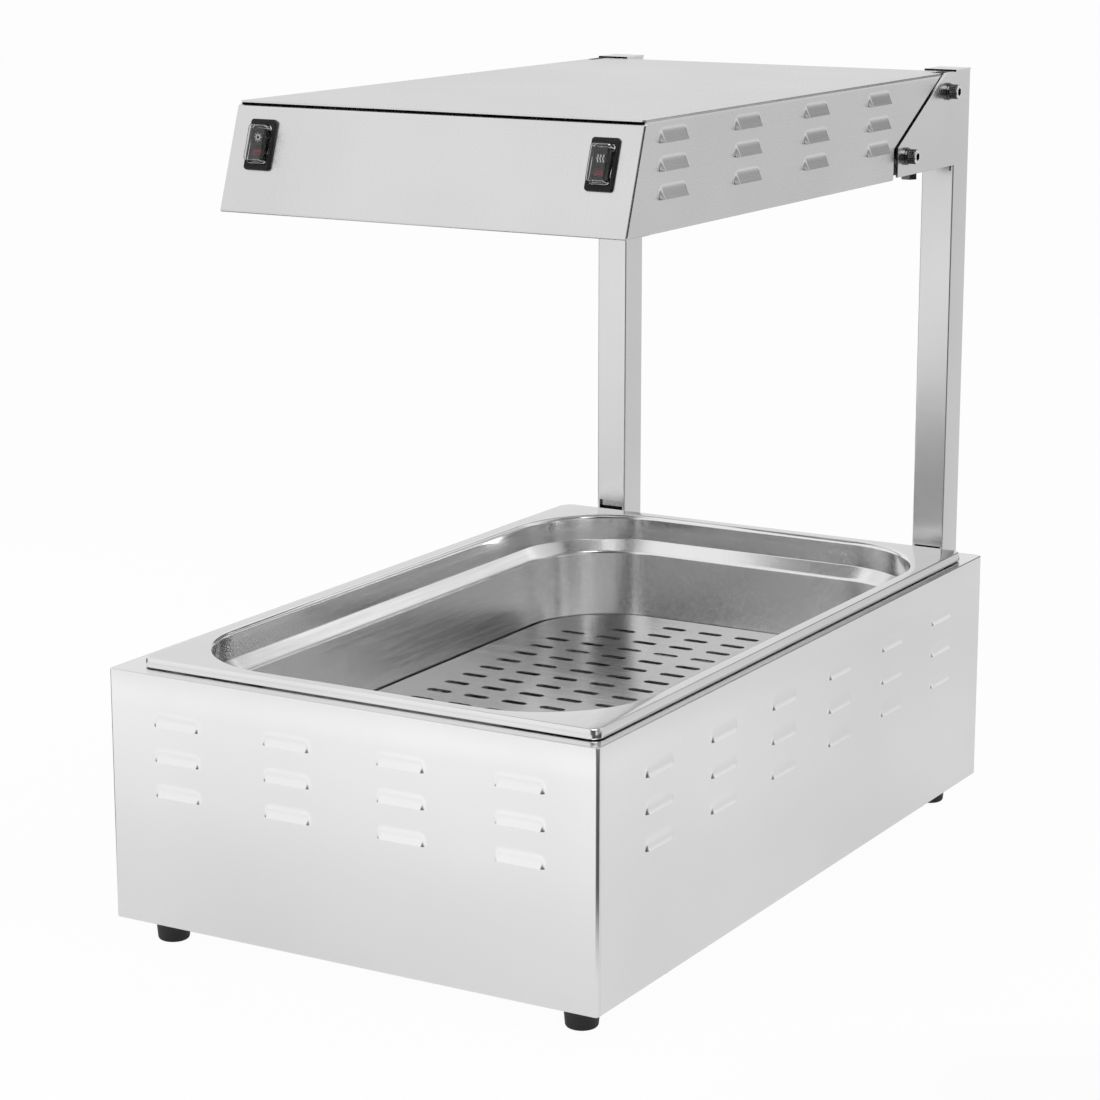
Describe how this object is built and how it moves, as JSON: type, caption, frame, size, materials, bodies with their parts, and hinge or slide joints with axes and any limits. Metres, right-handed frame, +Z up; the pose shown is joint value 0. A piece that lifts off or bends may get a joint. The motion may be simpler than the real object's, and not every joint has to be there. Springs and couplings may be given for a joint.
{
  "type": "heated chip scuttle",
  "caption": "Table-top heated chip scuttle: louvred steel casing with a lift-out pan and slotted drain plate, under a heat canopy on two rear posts with splash-proof switches.",
  "frame": {"origin": "On the table under the middle of the whole object's box", "axes": "+X to the right seen from the front, +Y from the front to the back, +Z up"},
  "size_m": [0.357, 0.5924, 0.524],
  "materials": {
    "casing_steel": "smooth bright stainless sheet",
    "canopy_steel": "brushed stainless sheet",
    "post_steel": "brushed stainless sheet",
    "pan_steel": "polished stainless, bright",
    "drain_steel": "satin stainless sheet",
    "inner_steel": "plain galvanised sheet",
    "reflector_sheet": "bright reflector sheet",
    "fastener_steel": "bright zinc plate",
    "guard_wire": "bright wire",
    "element_sheath": "heat-darkened sheath",
    "cutout_metal": "satin can",
    "quartz": "milky quartz",
    "white_ceramic": "glazed steatite, matt",
    "black_rubber": "matt moulded rubber",
    "black_plastic": "satin moulded plastic",
    "rocker_plastic": "gloss moulded plastic",
    "clear_plastic": "soft clear moulding"
  },
  "bodies": {
    "base": {"front_panel": "casing_steel", "casing_wrap": "casing_steel", "deck": "casing_steel", "base_plate": "casing_steel", "base_screws": "fastener_steel", "rubber_feet": "black_rubber", "foot_studs": "fastener_steel", "foot_nuts": "fastener_steel", "base_element": "element_sheath", "element_clips": "fastener_steel", "heat_tray": "inner_steel", "thermal_cutout": "cutout_metal", "terminal_block": "white_ceramic", "cable_gland": "black_plastic", "gland_locknut": "black_plastic", "wire_grommet": "black_rubber", "left_post": "post_steel", "right_post": "post_steel", "post_strips": "post_steel", "post_caps": "post_steel", "post_bolts": "fastener_steel", "post_nuts": "fastener_steel", "canopy_shell": "canopy_steel", "canopy_front": "canopy_steel", "canopy_rear": "canopy_steel", "hanger_brackets": "inner_steel", "gusset_screws": "fastener_steel", "gusset_washers": "fastener_steel", "spring_washers": "fastener_steel", "gusset_spacers": "fastener_steel", "gusset_nuts": "fastener_steel", "hex_bolts": "fastener_steel", "hex_washers": "fastener_steel", "hex_nuts": "fastener_steel", "reflector": "reflector_sheet", "heat_tubes": "quartz", "tube_sockets": "white_ceramic", "guard_grille": "guard_wire", "left_switch": "black_plastic", "left_switch_cover": "clear_plastic", "right_switch": "black_plastic", "right_switch_cover": "clear_plastic"},
    "pan": {"gn_pan": "pan_steel"},
    "drain": {"drain_plate": "drain_steel"},
    "left_switch_rocker": {"left_rocker": "rocker_plastic"},
    "right_switch_rocker": {"right_rocker": "rocker_plastic"}
  },
  "joints": [
    {"name": "pan_lift", "type": "slide", "parent": "base", "child": "pan", "axis": [0, 0, 1], "range_m": [0, 0.11]},
    {"name": "drain_plate_lift", "type": "slide", "parent": "pan", "child": "drain", "axis": [0, 0, 1], "range_m": [0, 0.085]},
    {"name": "left_rocker_tilt", "type": "hinge", "parent": "base", "child": "left_switch_rocker", "pos_m": [-0.1205, -0.19309, 0.49713], "axis": [-1, 0, 0], "range_deg": [0, 14]},
    {"name": "right_rocker_tilt", "type": "hinge", "parent": "base", "child": "right_switch_rocker", "pos_m": [0.1205, -0.19309, 0.49713], "axis": [-1, 0, 0], "range_deg": [0, 14]}
  ]
}
